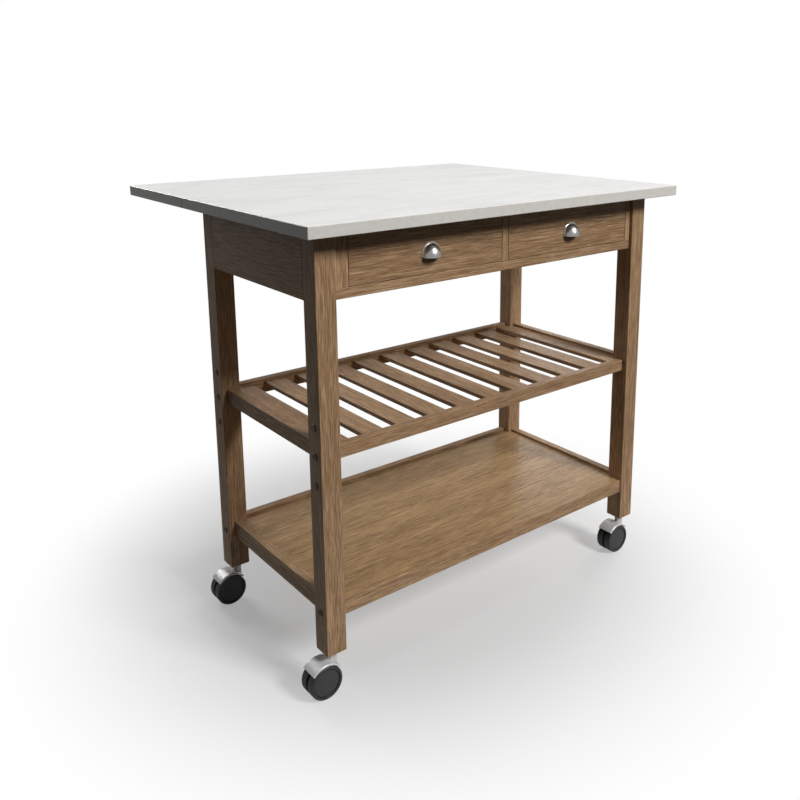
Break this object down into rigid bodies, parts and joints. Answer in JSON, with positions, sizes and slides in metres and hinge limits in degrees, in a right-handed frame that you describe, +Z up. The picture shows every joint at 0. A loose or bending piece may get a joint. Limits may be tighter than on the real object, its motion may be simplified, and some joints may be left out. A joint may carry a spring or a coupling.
{
  "type": "kitchen cart",
  "caption": "Rolling kitchen cart with drop-leaf top, drawers with cup pulls, slatted shelf, panel shelf and swivel casters.",
  "frame": {"origin": "on the floor, under the middle of the outer box with the leaf raised", "axes": "+X to the right seen from the drawer side, +Y from the drawers to the leaf, +Z up"},
  "size_m": [0.9652, 0.8002, 0.9144],
  "materials": {
    "stained_wood": "satin lacquer",
    "drawer_board": "bare plywood",
    "white_top": "white laminate on wood board, satin",
    "satin_nickel": "satin",
    "zinc_steel": "zinc plated",
    "dark_bolt": "black oxide",
    "silver_plastic": "satin silver",
    "black_plastic": "satin black"
  },
  "bodies": {
    "frame": {"worktop": "white_top", "leg_front_left": "stained_wood", "leg_front_right": "stained_wood", "leg_rear_left": "stained_wood", "leg_rear_right": "stained_wood", "apron_left": "stained_wood", "apron_right": "stained_wood", "apron_rear": "stained_wood", "face_rail": "stained_wood", "face_stiles": "stained_wood", "drawer_runners": "stained_wood", "slat_shelf_rail_front": "stained_wood", "slat_shelf_rail_rear": "stained_wood", "slat_shelf_rail_left": "stained_wood", "slat_shelf_rail_right": "stained_wood", "shelf_slats": "stained_wood", "panel_shelf_rail_front": "stained_wood", "panel_shelf_rail_rear": "stained_wood", "panel_shelf_rail_left": "stained_wood", "panel_shelf_rail_right": "stained_wood", "shelf_panel": "stained_wood", "leg_bolts": "dark_bolt", "caster_stems": "zinc_steel", "hinge_fixed_halves": "zinc_steel", "brace_wall_plates": "zinc_steel"},
    "leaf": {"drop_leaf": "white_top", "hinge_leaf_halves": "zinc_steel", "brace_leaf_plates": "zinc_steel"},
    "brace_lower": {"brace_lower_links": "zinc_steel"},
    "brace_upper": {"brace_upper_links": "zinc_steel"},
    "drawer_left": {"drawer_left_front": "stained_wood", "drawer_left_side_left": "drawer_board", "drawer_left_side_right": "drawer_board", "drawer_left_back": "drawer_board", "drawer_left_bottom": "drawer_board", "drawer_left_pull": "satin_nickel", "drawer_left_pull_screws": "zinc_steel"},
    "drawer_right": {"drawer_right_front": "stained_wood", "drawer_right_side_left": "drawer_board", "drawer_right_side_right": "drawer_board", "drawer_right_back": "drawer_board", "drawer_right_bottom": "drawer_board", "drawer_right_pull": "satin_nickel", "drawer_right_pull_screws": "zinc_steel"},
    "caster_front_left_swivel": {"caster_front_left_hood": "silver_plastic", "caster_front_left_axle": "zinc_steel"},
    "caster_front_left_wheel_front": {"caster_front_left_wheel_front": "black_plastic"},
    "caster_front_left_wheel_rear": {"caster_front_left_wheel_rear": "black_plastic"},
    "caster_front_right_swivel": {"caster_front_right_hood": "silver_plastic", "caster_front_right_axle": "zinc_steel"},
    "caster_front_right_wheel_front": {"caster_front_right_wheel_front": "black_plastic"},
    "caster_front_right_wheel_rear": {"caster_front_right_wheel_rear": "black_plastic"},
    "caster_rear_left_swivel": {"caster_rear_left_hood": "silver_plastic", "caster_rear_left_axle": "zinc_steel"},
    "caster_rear_left_wheel_front": {"caster_rear_left_wheel_front": "black_plastic"},
    "caster_rear_left_wheel_rear": {"caster_rear_left_wheel_rear": "black_plastic"},
    "caster_rear_right_swivel": {"caster_rear_right_hood": "silver_plastic", "caster_rear_right_axle": "zinc_steel"},
    "caster_rear_right_wheel_front": {"caster_rear_right_wheel_front": "black_plastic"},
    "caster_rear_right_wheel_rear": {"caster_rear_right_wheel_rear": "black_plastic"}
  },
  "joints": [
    {"name": "leaf_hinge", "type": "hinge", "parent": "frame", "child": "leaf", "pos_m": [0, 0.10225, 0.8881], "axis": [1, 0, 0], "range_deg": [-90, 0]},
    {"name": "brace_lower_pivot", "type": "hinge", "parent": "frame", "child": "brace_lower", "pos_m": [0, 0.09275, 0.8331], "axis": [1, 0, 0], "range_deg": [0, 37.2]},
    {"name": "brace_upper_pivot", "type": "hinge", "parent": "leaf", "child": "brace_upper", "pos_m": [0, 0.23225, 0.8786], "axis": [1, 0, 0], "range_deg": [-12, 0]},
    {"name": "drawer_left_slide", "type": "slide", "parent": "frame", "child": "drawer_left", "axis": [0, -1, 0], "range_m": [0, 0.28]},
    {"name": "drawer_right_slide", "type": "slide", "parent": "frame", "child": "drawer_right", "axis": [0, -1, 0], "range_m": [0, 0.28]},
    {"name": "caster_front_left_swivel", "type": "hinge", "parent": "frame", "child": "caster_front_left_swivel", "pos_m": [-0.4196, -0.32405, 0.06], "axis": [0, 0, 1], "continuous": true},
    {"name": "caster_front_left_roll_front", "type": "hinge", "parent": "caster_front_left_swivel", "child": "caster_front_left_wheel_front", "pos_m": [-0.4426, -0.33555, 0.034], "axis": [0, 1, 0], "continuous": true},
    {"name": "caster_front_left_roll_rear", "type": "hinge", "parent": "caster_front_left_swivel", "child": "caster_front_left_wheel_rear", "pos_m": [-0.4426, -0.31255, 0.034], "axis": [0, 1, 0], "continuous": true},
    {"name": "caster_front_right_swivel", "type": "hinge", "parent": "frame", "child": "caster_front_right_swivel", "pos_m": [0.4196, -0.32405, 0.06], "axis": [0, 0, 1], "continuous": true},
    {"name": "caster_front_right_roll_front", "type": "hinge", "parent": "caster_front_right_swivel", "child": "caster_front_right_wheel_front", "pos_m": [0.3966, -0.33555, 0.034], "axis": [0, 1, 0], "continuous": true},
    {"name": "caster_front_right_roll_rear", "type": "hinge", "parent": "caster_front_right_swivel", "child": "caster_front_right_wheel_rear", "pos_m": [0.3966, -0.31255, 0.034], "axis": [0, 1, 0], "continuous": true},
    {"name": "caster_rear_left_swivel", "type": "hinge", "parent": "frame", "child": "caster_rear_left_swivel", "pos_m": [-0.4196, 0.07995, 0.06], "axis": [0, 0, 1], "continuous": true},
    {"name": "caster_rear_left_roll_front", "type": "hinge", "parent": "caster_rear_left_swivel", "child": "caster_rear_left_wheel_front", "pos_m": [-0.4426, 0.06845, 0.034], "axis": [0, 1, 0], "continuous": true},
    {"name": "caster_rear_left_roll_rear", "type": "hinge", "parent": "caster_rear_left_swivel", "child": "caster_rear_left_wheel_rear", "pos_m": [-0.4426, 0.09145, 0.034], "axis": [0, 1, 0], "continuous": true},
    {"name": "caster_rear_right_swivel", "type": "hinge", "parent": "frame", "child": "caster_rear_right_swivel", "pos_m": [0.4196, 0.07995, 0.06], "axis": [0, 0, 1], "continuous": true},
    {"name": "caster_rear_right_roll_front", "type": "hinge", "parent": "caster_rear_right_swivel", "child": "caster_rear_right_wheel_front", "pos_m": [0.3966, 0.06845, 0.034], "axis": [0, 1, 0], "continuous": true},
    {"name": "caster_rear_right_roll_rear", "type": "hinge", "parent": "caster_rear_right_swivel", "child": "caster_rear_right_wheel_rear", "pos_m": [0.3966, 0.09145, 0.034], "axis": [0, 1, 0], "continuous": true}
  ],
  "couplings": [
    {"joint": "brace_lower_pivot", "follows": "leaf_hinge", "ratio": -0.40816},
    {"joint": "brace_upper_pivot", "follows": "leaf_hinge", "ratio": 0.12812}
  ]
}
